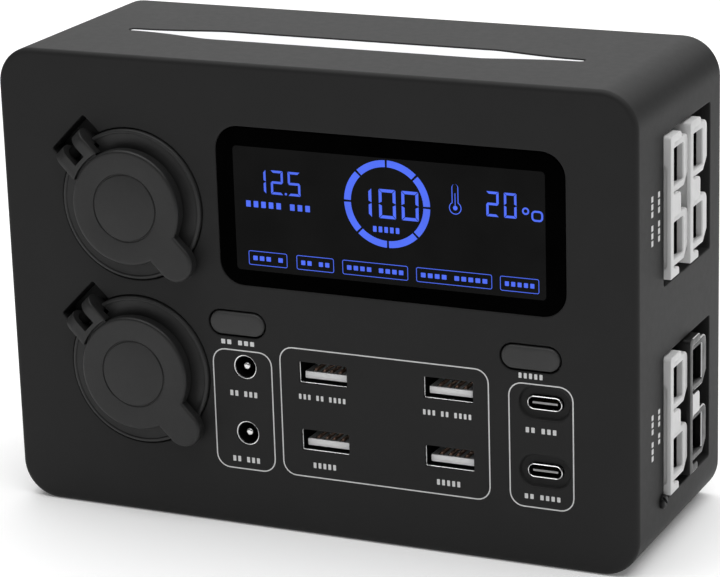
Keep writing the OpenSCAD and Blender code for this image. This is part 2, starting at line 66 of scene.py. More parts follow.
def islands(node):
    """Centres of the separate solids in a CAD node, in millimetres, sorted from left to right."""
    bm = bmesh.new()
    bm.from_mesh(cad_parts[node].data)
    bmesh.ops.remove_doubles(bm, verts=bm.verts, dist=1e-6)
    left, found = set(bm.verts), []
    while left:
        todo, group = [left.pop()], []
        while todo:
            v = todo.pop()
            group.append(v.co.copy())
            near = {e.other_vert(v) for e in v.link_edges} & left
            left -= near
            todo += near
        low, high = (Vector([pick(p[k] for p in group) for k in range(3)]) for pick in (min, max))
        found.append((low + high)/2/MM)
    bm.free()
    return sorted(found, key=lambda p: (round(p.x), p.z))


FRONT, BACK = -32.0, box("housing")[1].y
SIDE, TOP = 88.5, 125.0
WALL = 3.0
CORNER_R = 10.0
EDGE_R = 1.4


def heights(node):
    """How far a node's front and its back stand out from the front face."""
    low, high = box(node)
    return FRONT - low.y, FRONT - high.y


# ---- places: (u, v, h) on a face, h outwards, to x, y, z ----

def as_drawn(u, v, h):
    return (u, v, h)


def on_front(u, v, h):
    return (u, FRONT - h, v)


def on_back(u, v, h):
    return (u, BACK + h, v)


def on_top(u, v, h):
    return (u, v, TOP + h)


def on_side(u, v, h):
    return (SIDE + h, u, v)


def turned(u, v, turn, x=0.0, z=0.0):
    """A point turned anticlockwise, in degrees, and then moved."""
    c, s = math.cos(math.radians(turn)), math.sin(math.radians(turn))
    return x + u*c - v*s, z + u*s + v*c


def on_front_at(at, turn=0.0):
    """Places u, v, h on the front face about a point there."""
    return lambda u, v, h: on_front(*turned(u, v, turn, at.x, at.z), h)


# ---- outlines: closed loops of (u, v) points, and shapes: outlines as functions of grow, outwards ----

def arc(at, radius, start, end, steps):
    """Points along an arc, both ends included; angles in degrees."""
    angles = [math.radians(start + (end - start)*k/steps) for k in range(steps + 1)]
    return [(at[0] + radius*math.cos(t), at[1] + radius*math.sin(t)) for t in angles]


def circle(radius, at=(0, 0), steps=64):
    return arc(at, radius, 0, 360, steps)[:-1]


def rounded(width, height, radius, at=(0, 0), steps=8):
    """A rectangle with round corners."""
    def shape(grow=0.0):
        r = max(radius + grow, 0.02)
        half_w, half_h = width/2 + grow - r, height/2 + grow - r
        loop = []
        for su, sv, start in ((1, -1, -90), (1, 1, 0), (-1, 1, 90), (-1, -1, 180)):
            loop += arc((at[0] + su*half_w, at[1] + sv*half_h), r, start, start + 90, steps)
        return loop
    return shape


def between(u0, u1, v0, v1, radius, steps=8):
    """The same from its four edges."""
    return rounded(u1 - u0, v1 - v0, radius, ((u0 + u1)/2, (v0 + v1)/2), steps)


def stadium(width, height, at=(0, 0), steps=12):
    return rounded(width, height, height/2, at, steps)


def circles(radius, at=(0, 0), steps=64):
    return lambda grow: circle(radius + grow, at, steps)


def quarter(radius, steps, sign=1, h=0.0):
    """(grow, h) pairs round an edge, from the face down to the wall; sign is 1 for a hole and -1 for a solid."""
    angles = [math.radians(90*k/steps) for k in range(steps + 1)]
    return [(sign*radius*(1 - math.sin(t)), h - radius*(1 - math.cos(t))) for t in angles]


def rim(radius, steps, sign=1, h=0.0):
    """The same, after the ring that supports it."""
    return [(sign*(radius + SUPPORT), h), *quarter(radius, steps, sign, h)]


def carried(shape, section):
    """Pairs of a loop and its height, from (grow, h) pairs."""
    return [(shape(grow), h) for grow, h in section]


def inside(point, loop):
    u, v = point
    crossed = [(v0 > v) != (v1 > v) and u < (u1 - u0)*(v - v0)/(v1 - v0) + u0
               for (u0, v0), (u1, v1) in zip([loop[-1], *loop], loop)]
    return sum(crossed) % 2 == 1


# ---- mesh building ----

class Shape:
    """Faces in millimetres, drawn in the shape's own place, and welded into one mesh at the end."""

    def __init__(self, place=on_front):
        self.bm = bmesh.new()
        self.slot = 0
        self.place = place

    def face(self, points):
        made = self.bm.faces.new([self.bm.verts.new(p) for p in points])
        made.material_index = self.slot

    def fill(self, outer, holes=(), h=0.0, place=None):
        """A flat region inside one loop and outside the others."""
        points, edges = [], []
        for loop in (outer, *holes):
            first, count = len(points), len(loop)
            points += [Vector((p[0], p[1])) for p in loop]
            edges += [(first + k, first + (k + 1) % count) for k in range(count)]
        verts, _, triangles, *_ = geometry.delaunay_2d_cdt(points, edges, [], 0, 1e-5)
        for tri in triangles:
            mid = sum((verts[k] for k in tri), Vector((0, 0)))/len(tri)
            if inside(mid, outer) and not any(inside(mid, q) for q in holes):
                self.face([(place or self.place)(*verts[k], h) for k in tri])

    def rings(self, loops, place=None, skip=()):
        """Walls through (loop, h) pairs, whose points correspond, but for the sides to skip."""
        loops = [[(place or self.place)(u, v, h) for u, v in loop] for loop, h in loops]
        for low, high in zip(loops, loops[1:]):
            for k in range(len(low)):
                j = (k + 1) % len(low)
                if k not in skip:
                    self.face([low[k], low[j], high[j], high[k]])

    def sweep(self, shape, section, place=None):
        self.rings(carried(shape, section), place)

    def lathe(self, profile, steps=64):
        """Circles about the place's own origin, through (radius, h) pairs."""
        self.rings([(circle(r, steps=steps), h) for r, h in profile])

    def solid(self, loops):
        """Walls through (loop, h) pairs, with a flat at both ends."""
        self.rings(loops)
        for loop, h in (loops[0], loops[-1]):
            self.fill(loop, (), h)
        return self

    def slab(self, outline, h0, h1, holes=()):
        """An outline between two heights, with holes through it."""
        for h in (h0, h1):
            self.fill(outline, holes, h)
        for loop in (outline, *holes):
            self.rings([(loop, h0), (loop, h1)])
        return self

    def paint(self, slot, where=None):
        """Gives a material slot to every face, or to those for which where(middle, normal) holds."""
        for face in self.bm.faces:
            if where is None or where(face.calc_center_median(), face.normal):
                face.material_index = slot
        return self

    def weld(self):
        bmesh.ops.remove_doubles(self.bm, verts=self.bm.verts, dist=WELD)
        bmesh.ops.dissolve_degenerate(self.bm, dist=WELD/5, edges=self.bm.edges)
        bmesh.ops.recalc_face_normals(self.bm, faces=self.bm.faces)
        return self

    def soften(self, width, steps=3):
        """Rounds every edge sharper than 40 degrees."""
        self.weld()
        bmesh.ops.dissolve_limit(self.bm, angle_limit=math.radians(1), verts=self.bm.verts, edges=self.bm.edges)
        sharp = [e for e in self.bm.edges if e.is_manifold and e.calc_face_angle() > math.radians(40)]
        bmesh.ops.bevel(self.bm, geom=sharp, offset=width, segments=steps, profile=0.5, affect="EDGES",
                        clamp_overlap=True)
        return self

    def move(self, matrix):
        bmesh.ops.transform(self.bm, matrix=matrix, verts=self.bm.verts)
        return self

    def add(self, other):
        """Takes over another shape's faces as they are."""
        mesh = bpy.data.meshes.new("part")
        other.bm.to_mesh(mesh)
        self.bm.from_mesh(mesh)
        bpy.data.meshes.remove(mesh)

    def __add__(self, other):
        return combined(self, other, "UNION")

    def __sub__(self, other):
        return combined(self, other, "DIFFERENCE")

    def mesh(self, name, scale=MM):
        self.weld()
        bmesh.ops.scale(self.bm, vec=(scale,)*3, verts=self.bm.verts)
        data = bpy.data.meshes.new(name)
        self.bm.to_mesh(data)
        self.bm.free()
        return data

    def piece(self, name, materials, slot, node=None, body="station", sharp=32):
        """The finished piece: it rides on a body, and stands for a CAD node if one is named."""
        data = self.mesh(name)
        for m in materials:
            data.materials.append(m)
        for p in data.polygons:
            p.use_smooth = True
        data.set_sharp_from_angle(angle=math.radians(sharp))
        made = shown(name, data)
        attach(made, body)
        if node:
            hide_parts(node)


def shown(name, data):
    """A new object in the scene."""
    made = bpy.data.objects.new(name, data)
    bpy.context.scene.collection.objects.link(made)
    return made


def combined(first, second, operation):
    """The exact union or difference of two closed shapes, as a new shape; both are used up."""
    objects = [shown("part", shape.mesh("part", scale=1)) for shape in (first, second)]
    modifier = objects[0].modifiers.new("combine", "BOOLEAN")
    modifier.operation, modifier.solver, modifier.object = operation, "EXACT", objects[1]
    bpy.context.view_layer.update()
    graph = bpy.context.evaluated_depsgraph_get()
    result = Shape()
    result.bm.from_mesh(objects[0].evaluated_get(graph).data)
    for o in objects:
        data = o.data
        bpy.data.objects.remove(o)
        bpy.data.meshes.remove(data)
    return result


def bar(low, high, place):
    """A box between two corners."""
    outline = [(low[0], low[1]), (high[0], low[1]), (high[0], high[1]), (low[0], high[1])]
    return Shape(place).slab(outline, low[2], high[2])


# ---- materials ----

class Nodes:
    """A short way to write a Principled material's node tree."""

    def __init__(self, name):
        self.material = bpy.data.materials.new(name)
        self.material.use_nodes = True
        self.tree = self.material.node_tree
        self.shader = self.tree.nodes["Principled BSDF"]
        self.where = self.node("TexCoord").outputs["Object"]

    def node(self, kind, **values):
        made = self.tree.nodes.new("ShaderNode" + kind)
        self.set(made, **values)
        return made

    def set(self, node=None, **values):
        """Sets a node's inputs, or the shader's."""
        for name, value in values.items():
            (node or self.shader).inputs[name.replace("_", " ")].default_value = value

    def link(self, source, name, node=None):
        """Feeds one of a node's inputs, or of the shader's."""
        self.tree.links.new(source, (node or self.shader).inputs[name])

    def noise(self, grain, detail=3.0, roughness=0.55, stretch=None):
        """Noise with a given grain size in millimetres, from 0 to 1."""
        node = self.node("TexNoise", Scale=1/(grain*MM), Detail=detail, Roughness=roughness)
        where = self.where
        if stretch:
            mapping = self.node("Mapping", Scale=stretch)
            self.link(where, "Vector", mapping)
            where = mapping.outputs["Vector"]
        self.link(where, "Vector", node)
        return node.outputs["Fac"]

    def spread(self, source, low=0.0, high=1.0, start=0.35, stop=0.65):
        """Maps a noise value to the range low to high."""
        node = self.node("MapRange", From_Min=start, From_Max=stop, To_Min=low, To_Max=high)
        self.link(source, "Value", node)
        return node.outputs["Result"]

    def mix(self, factor, a, b):
        """A colour between a and b."""
        node = self.node("Mix")
        node.data_type = "RGBA"
        self.link(factor, "Factor", node)
        node.inputs[6].default_value, node.inputs[7].default_value = (*a, 1), (*b, 1)
        return node.outputs[2]

    def tone(self, dark, light, factor, rough, gloss):
        """Colour from dark to light by a factor, and roughness over a range by a noise."""
        self.link(self.mix(factor, dark, light), "Base Color")
        self.link(self.spread(gloss, *rough), "Roughness")

    def bump(self, source, depth, strength):
        """Relief of a given depth in millimetres."""
        node = self.node("Bump", Strength=strength, Distance=depth*MM)
        self.link(source, "Height", node)
        self.link(node.outputs["Normal"], "Normal")


def linear(levels):
    """A linear colour from display values of 0 to 255: three of them, or one for a grey."""
    levels = levels if isinstance(levels, tuple) else (levels,)*3
    return tuple(c/12.92 if c <= 0.04045 else ((c + 0.055)/1.055)**2.4 for c in (v/255 for v in levels))


def moulded(name, dark, light, rough=(0.5, 0.6), grain=0.35, relief=0.02, specular=0.4):
    """Moulded plastic: a fine spark-eroded grain, slow colour drift and slightly uneven gloss."""
    n = Nodes(name)
    n.tone(linear(dark), linear(light), n.spread(n.noise(14, 4)), rough, n.noise(2.2))
    n.bump(n.noise(grain, 2, 0.6), relief, 0.6)
    n.set(Specular_IOR_Level=specular)
    return n.material


def metal(name, dark, light, rough, grain=0.5, stretch=None):
    """Plated or drawn metal with fine handling marks."""
    n = Nodes(name)
    marks = n.noise(grain, 4, 0.6, stretch)
    n.tone(linear(dark), linear(light), n.spread(marks), rough, n.noise(1.3))
    n.bump(marks, 0.006, 0.5)
    n.set(Metallic=1.0)
    return n.material


def rubber(name, dark, light):
    """Soft matt rubber with faint dust and moulding texture."""
    n = Nodes(name)
    dust = n.spread(n.noise(5, 5, 0.65), start=0.4, stop=0.7)
    n.tone(linear(dark), linear(light), dust, (0.38, 0.5), n.noise(1.1, 4))
    n.bump(n.noise(0.3), 0.012, 0.5)
    n.set(Specular_IOR_Level=0.34, Sheen_Weight=0.02, Sheen_Roughness=0.5)
    return n.material


def glass_black(name, level, rough, specular):
    """Polished black lens with barely visible haze."""
    n = Nodes(name)
    clear = linear(level)
    haze = [c*1.25 + 0.0004 for c in clear]
    n.tone(clear, haze, n.spread(n.noise(18)), (rough, rough + 0.05), n.noise(6))
    n.set(Specular_IOR_Level=specular)
    return n.material


def glowing(name, colour, strength, base):
    """A lit display segment or diffuser, a little uneven like a real backlight."""
    n = Nodes(name)
    uneven = n.spread(n.noise(9, 2))
    bright, unlit = linear(colour), linear(base)
    n.link(n.mix(uneven, [c*0.86 for c in bright], bright), "Emission Color")
    n.link(n.mix(uneven, unlit, [min(1, c*1.1) for c in unlit]), "Base Color")
    n.set(Emission_Strength=strength, Roughness=0.5)
    return n.material


def solder_mask(name):
    """Green lacquer over copper tracks, as fine rectangular cells."""
    n = Nodes(name)
    cells = n.node("TexBrick", Scale=180, Mortar_Size=0.03, Color1=(0.01, 0.09, 0.035, 1),
                   Color2=(0.012, 0.11, 0.045, 1), Mortar=(0.03, 0.2, 0.08, 1))
    n.link(n.where, "Vector", cells)
    n.link(cells.outputs["Color"], "Base Color")
    n.link(n.spread(n.noise(3), 0.28, 0.4), "Roughness")
    return n.material


SHELL = moulded("charcoal_plastic", 33.6, 35, (0.53, 0.555), 0.3, 0.007, 0.15)
BUTTON = moulded("button_plastic", 56.5, 60, (0.42, 0.5), 0.3, 0.01, 0.2)
SOCKET = moulded("socket_plastic", 40, 44, (0.38, 0.48), 0.35, 0.012, 0.26)
LID = rubber("black_rubber", 28.5, 31.5)
BLACK = moulded("black_plastic", 14, 20, (0.4, 0.5), 0.35, 0.015, 0.4)
# near-black painted shade for hollows: slot walls, shell insides, jack holes, the hinge lug, and the lining deep in
# connector poles
SHADE_BLACK = moulded("painted_shade_black", 2, 5, (0.8, 0.9), 0.5, 0.01, 0.1)
CONNECTOR = moulded("grey_polycarbonate", 199, 206, (0.38, 0.48), 0.4, 0.012, 0.45)
CONNECTOR_BLACK = moulded("black_polycarbonate", 12, 16, (0.3, 0.42), 0.4, 0.012, 0.3)
WHITE = moulded("white_nylon", 248, 253, (0.35, 0.45), 0.4, 0.008, 0.45)
# light grey for the front face of each black USB-C tongue: a painted highlight
TONGUE_HIGHLIGHT = moulded("tongue_painted_highlight", 150, 162, (0.4, 0.5), 0.3, 0.008, 0.4)
SCREW_BLACK = moulded("black_screw", 9, 13, (0.4, 0.5), 0.3, 0.008, 0.2)
STEEL = moulded("blackened_steel", 20, 30, (0.3, 0.42), 0.3, 0.01, 0.6)
NICKEL = metal("nickel_plate", 214, 232, (0.2, 0.32))
SILVER = metal("silver_plate", 190, 214, (0.25, 0.4), 0.6, (1, 1, 6))
BRASS = metal("gold_plate", (196, 160, 90), (220, 186, 110), (0.2, 0.35))
CONTACT = metal("copper_plate", (228, 182, 156), (244, 212, 192), (0.5, 0.6))
COPPER = metal("copper_bar", (168, 96, 66), (196, 122, 86), (0.25, 0.4), 0.8, (1, 1, 0.2))
ALUMINIUM = metal("aluminium", 170, 190, (0.35, 0.5), 0.6, (1, 1, 0.1))
LENS = glass_black("black_lens", 0.3, 0.12, 0.004)
WINDOW = glass_black("display_window", 21, 0.2, 0.012)
PRINT = moulded("grey_print", 206, 216, (0.5, 0.6), 0.4, 0.004, 0.3)
GLOW = glowing("display_blue", (62, 98, 236), 1.1, (20, 26, 60))
DIFFUSER = glowing("opal_diffuser", (238, 238, 255), 0.2, 205)
BOARD = solder_mask("solder_mask")
FERRITE = moulded("ferrite", 60, 68, (0.6, 0.7), 0.4, 0.03)
SLEEVE = moulded("capacitor_sleeve", (28, 34, 66), (32, 40, 76), (0.25, 0.35), 0.5, 0.004)
MODULE = moulded("display_frame", 58, 64)
RED = rubber("red_silicone", (150, 26, 24), (168, 34, 30))
BLACK_LEAD = rubber("black_silicone", 20, 28)

CARRIED = {     # the inner CAD nodes, which keep their shape
    "light_board": BOARD, "main_board": BOARD, "power_board": BOARD, "display_module": MODULE,
    "power_switch": BLACK, "light_switch": BLACK, "upper_nut": BLACK, "lower_nut": BLACK,
    "upper_sleeve": NICKEL, "lower_sleeve": NICKEL, "upper_pin": NICKEL, "lower_pin": NICKEL,
    "board_screws": NICKEL, "inductors": FERRITE, "capacitors": SLEEVE, "heat_sink": ALUMINIUM,
    "positive_bar": COPPER, "negative_bar": COPPER, "positive_lead": RED, "negative_lead": BLACK_LEAD,
}


# ---- housing ----

SOCKETS = {"upper": centre("upper_sleeve"), "lower": centre("lower_sleeve")}
SOCKET_TURN = 135
FLANGE_R = 20.2
POCKET_R = FLANGE_R + 0.3
HINGE_END = 25.6
HINGE_HALF = 6.9
BARREL_R = 13.9
BUTTONS = {name: centre(name) for name in ("power_button", "light_button")}
BUTTON_SIZE = (15.6, 6.2)
JACKS = {which: centre(which + "_jack_pin") for which in ("upper", "lower")}
USB_A = {k: centre(f"usb_a_shell_{k}") for k in (1, 2, 3, 4)}
USB_C = {k: centre(f"usb_c_shell_{k}") for k in (1, 2)}
CONNECTORS = {k: box(f"connector_{k}") for k in (1, 2, 3, 4)}
BAYS = {which: box(which + "_tray") for which in ("upper", "lower")}
TRAY_T = 1.2
BAY_W = 36.4
STRIP_L, STRIP_W = 129.0, 10.0
STRIP_TIP = 1.25        # radius of the strip's round tips
STRIP_FLAT = 0.3        # part of its length, each way from the middle, that is parallel


body_shape = between(-SIDE, SIDE, 0, TOP, CORNER_R, 12)


def lens_shape(grow):
    low, high = box("display_lens")
    return between(low.x - 0.1, high.x + 0.1, low.z - 0.1, high.z + 0.1, 6.5, 10)(grow)


def socket_hole(which, wall=0.0):
    """A socket's pocket, or the boss a wall's thickness round it: a circle and a rectangle for the hinge."""
    at = SOCKETS[which]

    def shape(grow):
        r, w, end = (size + wall + grow for size in (POCKET_R, HINGE_HALF, HINGE_END))
        c = max(0.6 + grow, 0.05)
        meet = math.degrees(math.asin(w/r))
        loop = arc((0, 0), r, meet, 360 - meet, 56)
        loop += arc((end - c, -w + c), c, -90, 0, 5) + arc((end - c, w - c), c, 0, 90, 5)
        return [turned(u, v, SOCKET_TURN, at.x, at.z) for u, v in loop]
    return shape


def strip_shape(grow):
    """The light strip: parallel in the middle, easing down to two round tips."""
    middle = centre("light_diffuser").y
    reach, flat = STRIP_L/2 - STRIP_TIP, STRIP_L*STRIP_FLAT
    half, small = STRIP_W/2 + grow, max(STRIP_TIP + grow, 0.1)
    steps = 18
    taper = []
    for k in range(steps):
        t = k/steps
        eased = math.sin(math.pi/2*t)**1.2
        taper.append((flat + (reach - flat)*t, half + (small - half)*eased))
    right = taper + arc((reach, 0), small, 78, -78, 8) + [(u, -v) for u, v in reversed(taper)]
    return [(sign*u, middle + sign*v) for sign in (1, -1) for u, v in right]


def bay_shape(which):
    """Outline of a side opening, in y and z."""
    low, high = BAYS[which]
    return between(high.y - TRAY_T - BAY_W, high.y - TRAY_T, low.z + TRAY_T, high.z - TRAY_T, 0.7, 4)


def side_screw_shape(grow):
    middle = centre("side_screw")
    return circle(1.15 + grow, (middle.y, middle.z), 24)


def housing():
    """The main shell as one closed mesh: outside, openings and inner skin."""
    s = Shape()
    inner = -WALL
    hole = rim(0.3, 4)
    first = hole[0][0]
    front_holes, skin_holes = [], []

    def opening(shape, section):
        s.sweep(shape, section)
        front_holes.append(shape(section[0][0]))
        skin_holes.append(shape(section[-1][0]))

    for at in BUTTONS.values():
        opening(stadium(BUTTON_SIZE[0] + 0.9, BUTTON_SIZE[1] + 0.9, (at.x, at.z)), [*hole, (0, inner)])
    ports = [(circles(3.3, (at.x, at.z)), -0.35) for at in JACKS.values()]
    ports += [(rounded(13.5, 5.75, 0.35, (at.x, at.z), 4), -0.5) for at in USB_A.values()]
    for shape, lip_h in ports:
        opening(shape, [*rim(0.12, 3), (0, lip_h), (0.3, lip_h), (0.3, inner)])
    ledge = 1.8
    opening(lens_shape, [*hole, (0, -ledge), (-2.9, -ledge), (-3, -ledge - 0.1), (-3, inner)])

    dish = 1.2
    soft = rim(0.55, 6)
    for at in USB_C.values():
        shape = stadium(13.6, 8.4, (at.x, at.z))
        mouth = stadium(9.7, 4.0, (at.x, at.z))
        s.sweep(shape, [*soft, (-0.1, -dish + 0.35), (-0.35, -dish + 0.08), (-0.7, -dish)])
        s.fill(shape(-0.7), [mouth(0)], -dish)
        s.sweep(mouth, [(0, -dish), (0, inner)])
        front_holes.append(shape(soft[0][0]))
        skin_holes.append(mouth(0))

    floor, boss_back = -6.4, -8.0
    for which, at in SOCKETS.items():
        pocket, boss = socket_hole(which), socket_hole(which, 2)
        bore = circle(BARREL_R + 0.2, (at.x, at.z))
        s.sweep(pocket, [*hole, (0, floor)])
        s.fill(pocket(0), [bore], floor)
        s.rings([(bore, floor), (bore, boss_back)])
        s.fill(boss(0), [bore], boss_back)
        s.sweep(boss, [(0, boss_back), (0, inner)])
        front_holes.append(pocket(first))
        skin_holes.append(boss(0))

    support = EDGE_R + SUPPORT
    s.fill(body_shape(-support), front_holes)
    s.sweep(body_shape, [*rim(EDGE_R, 7, -1), (0, -support)])
    depth, rear_r = BACK - FRONT, 0.5
    rear = [(0, -depth + rear_r + SUPPORT), *[(g, -depth - h) for g, h in reversed(quarter(rear_r, 4, -1))]]
    rear += [(-WALL + 0.25, -depth), (-WALL, -depth + 0.25), (-WALL, -depth + 0.6)]
    s.sweep(body_shape, rear)
    s.fill(body_shape(-WALL), skin_holes, inner)

    # the long walls, outside and inside; the right and top flats have openings
    corner = len(body_shape())//4
    flats = (corner - 1, 2*corner - 1)
    half, low, high = SIDE - CORNER_R, CORNER_R, TOP - CORNER_R
    for h0, h1, wall, at, grow in ((-support, -depth + rear_r + SUPPORT, 0, 0, first),
                                   (inner, -depth + 0.6, -WALL, inner, 0)):
        s.rings([(body_shape(wall), h0), (body_shape(wall), h1)], skip=flats)
        y0, y1 = FRONT - h0, FRONT - h1
        s.fill([(-half, y0), (half, y0), (half, y1), (-half, y1)], [strip_shape(grow)], at, on_top)
        s.fill([(y0, low), (y1, low), (y1, high), (y0, high)],
               [bay_shape("upper")(grow), bay_shape("lower")(grow), side_screw_shape(grow)], at, on_side)
    s.sweep(strip_shape, [*hole, (0, inner)], on_top)
    for shape in (bay_shape("upper"), bay_shape("lower"), side_screw_shape):
        s.sweep(shape, [*hole, (0, inner)], on_side)
    s.piece("housing_shell", [SHELL], "charcoal_shell", "housing", sharp=28)


def rear_cover():
    s = Shape(on_back)
    low, high = box("rear_cover")
    shape = between(low.x, high.x, low.z, high.z, CORNER_R - WALL, 12)
    plate, sink, edge, hole = 3.0, 1.8, rim(0.5, 4, -1), rim(0.3, 4)
    screw_holes = [circles(3.1, (p.x, p.z), 40) for p in islands("cover_screws")]
    s.sweep(shape, [*edge, (0, -plate)])
    for screw_hole in screw_holes:
        s.sweep(screw_hole, [*hole, (0, -sink), (-1.3, -sink), (-1.3, -plate)])
    s.fill(shape(edge[0][0]), [screw_hole(hole[0][0]) for screw_hole in screw_holes], 0)
    s.fill(shape(0), [screw_hole(-1.3) for screw_hole in screw_holes], -plate)
    s.piece("rear_cover_plate", [SHELL], "charcoal_shell", "rear_cover", sharp=28)


def screw_head(radius, height, shank_r, shank_l, turn):
    """A pan-head screw with a slot: the head's underside at h = 0."""
    crown = [(0, 0), (0, height*0.45)]
    for k in range(1, 7):
        t = math.radians(15*k)
        crown.append((-radius*0.55*(1 - math.cos(t)), height*(0.45 + 0.55*math.sin(t))))
    head = Shape(as_drawn).solid(carried(circles(radius, steps=40), crown))
    point = [(0, 0.2), (0, -shank_l + 0.4), (-0.3, -shank_l)]
    shank = Shape(as_drawn).solid(carried(circles(shank_r, steps=24), point))
    slot = bar((-radius - 1, -0.38, height*0.42), (radius + 1, 0.38, height + 1),
               lambda u, v, h: (*turned(u, v, turn), h))
    return head + shank - slot


def screws():
    backwards, outwards = Matrix.Rotation(math.radians(-90), 4, "X"), Matrix.Rotation(math.radians(90), 4, "Y")
    group = Shape()
    for k, at in enumerate(islands("cover_screws")):
        head = screw_head(2.9, 1.6, 1.2, 8, 17 + 53*k)
        group.add(head.move(Matrix.Translation((at.x, BACK - 1.8, at.z)) @ backwards))
    group.piece("cover_screw_set", [STEEL], "black_steel", "cover_screws")
    at = centre("side_screw")
    head = screw_head(1.9, 1.2, 1.0, 5, 45).move(Matrix.Translation((SIDE, at.y, at.z)) @ outwards)
    head.piece("side_screw_slotted", [SCREW_BLACK], "black_steel", "side_screw")


# ---- light strip ----

def light_strip():
    s = Shape(on_top)
    low, high = box("light_diffuser")
    under, crest, skin = low.z - TOP, high.z - TOP, -WALL - 0.02
    s.sweep(strip_shape, [(-0.5, crest), (-0.3, crest - 0.03), (-0.16, crest - 0.14), (-0.1, crest - 0.35),
                          (-0.1, skin)])
    s.fill(strip_shape(-0.5), (), crest)
    flange_loop = between(low.x, high.x, low.y, high.y, 1, 4)()
    s.fill(flange_loop, [strip_shape(-0.1)], skin)
    s.rings([(flange_loop, skin), (flange_loop, under)])
    s.fill(flange_loop, (), under)
    s.piece("light_diffuser_opal", [DIFFUSER], "white_diffuser", "light_diffuser")


# ---- display ----

WINDOW_SIZE = (85.0, 32.8)
RING_SQUASH = 0.966     # the gauge's ring is a little lower than it is wide
SEGMENTS = {"0": "abcdef", "1": "bc", "2": "abged", "5": "afgcd"}


def display_lens():
    s = Shape()
    face, back = heights("display_lens")
    at, gap = centre("display_lens"), 0.1
    window = rounded(*WINDOW_SIZE, 1.0, (at.x - 0.2, at.z - 0.4), 5)()
    edge = [(g - gap, h) for g, h in rim(0.35, 4, -1, face)]
    s.sweep(lens_shape, [*edge, (-gap, back)])
    s.fill(lens_shape(edge[0][0]), [window], face)
    s.fill(lens_shape(-gap), (), back)
    s.slot = 1
    s.fill(window, (), face)
    s.piece("display_lens_black", [LENS, WINDOW], "black_lens", "display_lens")


def thin(s, outline, holes=()):
    """A printed or lit mark: an outline as a very thin closed solid."""
    s.slab(outline, 0, PRINT_H, holes)


def digit(s, value, left, low, width, height, stroke):
    """A seven-segment figure made of separate bars with mitred ends."""
    gap = stroke*0.14
    right, mid, top = left + width, low + height/2, low + height

    def level(v, inner):
        """A bar across: its long edge is outside, its short edge towards the middle."""
        a, b = left + gap, right - gap
        if inner == 0:
            h = stroke/2
            return [(a, v), (a + h, v - h), (b - h, v - h), (b, v), (b - h, v + h), (a + h, v + h)]
        return [(a, v), (b, v), (b - stroke, v - inner*stroke), (a + stroke, v - inner*stroke)]

    def upright(u, inner, v0, v1):
        a, b = v0 + gap, v1 - gap
        low_cut = stroke if v0 == low else stroke/2
        high_cut = stroke if v1 == top else stroke/2
        return [(u, a), (u, b), (u - inner*stroke, b - high_cut), (u - inner*stroke, a + low_cut)]

    bars = {
        "a": level(top, 1), "g": level(mid, 0), "d": level(low, -1),
        "f": upright(left, -1, mid, top), "e": upright(left, -1, low, mid),
        "b": upright(right, 1, mid, top), "c": upright(right, 1, low, mid),
    }
    for name in SEGMENTS[value]:
        thin(s, bars[name])


def line_frame(s, left, right, low, high, radius, stroke):
    shape = between(left, right, low, high, radius, 6)
    thin(s, shape(stroke/2), [shape(-stroke/2)])


def blocks(s, counts, left, right, low, high, gap):
    """Blank blocks that stand for words: counts are how many in each group, spread from left to right."""
    space = 0.8         # between groups, in blocks
    pitch = (right - left + gap)/(sum(counts) + (len(counts) - 1)*space)
    for count in counts:
        for _ in range(count):
            thin(s, between(left, left + pitch - gap, low, high, 0.12, 2)())
            left += pitch
        left += space*pitch


def thermometer(s, bulb):
    stem_half, bulb_r, top = 0.9, 1.66, 6.1

    def outline(grow):
        w, r = stem_half + grow, bulb_r + grow
        meet = math.degrees(math.asin(w/r))
        return arc(bulb, r, 90 + meet, 450 - meet, 28) + arc((bulb[0], bulb[1] + top - w), w, 0, 180, 8)

    thin(s, outline(0.0), [outline(-0.22)])
    thin(s, circle(0.6, bulb, 18))
    thin(s, rounded(0.2, 3.2, 0.09, (bulb[0], bulb[1] + 2.2), 2)())


def display_graphics():
    """Lit figures, ring gauge, thermometer and state boxes, just above the lens."""
    at, (face, _) = centre("display_lens"), heights("display_lens")
    s = Shape(lambda u, v, h: on_front(at.x + u, at.z + v, face + h))

    stroke, line = 0.62, 4.0
    for value, left in (("1", -37.0), ("2", -32.15), ("5", -27.34)):
        digit(s, value, left, line, 3.45, 6.3, stroke)
    thin(s, rounded(0.6, 0.6, 0.15, (-28.0, line + 0.35), 3)())
    blocks(s, [5, 3], -39.4, -21.4, 0.15, 1.8, 0.85)

    ring_z, parts, gap = 4.15, 8, 1.5
    for k in range(parts):
        a, b = 360/parts*k + gap, 360/parts*(k + 1) - gap
        part = arc((0, 0), 11.75, a, b, 10) + arc((0, 0), 9.9, b, a, 10)
        thin(s, [(u, ring_z + RING_SQUASH*v) for u, v in part])
    for value, left in (("1", -8.8), ("0", -2.2), ("0", 4.0)):
        digit(s, value, left, 0.4, 4.6, 7.6, 0.8)
    blocks(s, [5], -4.0, 3.2, -3.3, -1.8, 0.6)

    thermometer(s, (18.5, 4.8))
    for value, left in (("2", 26.8), ("0", 31.5)):
        digit(s, value, left, 3.5, 3.3, 6.4, stroke)
    dot = (37.16, 5.65)
    thin(s, circle(0.95, dot, 20), [circle(0.5, dot, 20)])
    line_frame(s, 38.9, 41.5, 3.45, 5.75, 0.8, 0.5)

    for left, right, groups in ((-39.2, -28.4, [3, 1]), (-25.6, -15.3, [2, 2]), (-12.75, 5.2, [4, 4]),
                                (7.6, 27.9, [4, 5]), (30.2, 40.4, [5])):
        line_frame(s, left, right, -15.225, -11.575, 0.45, 0.17)
        blocks(s, groups, left + 1.2, right - 1.2, -14.0, -12.8, 0.62)
    s.piece("display_graphics", [GLOW], "black_lens")


# ---- printed marks on the housing ----

SIDE_MARK_Y = FRONT + 10.5
SIDE_MARK_W = 1.35


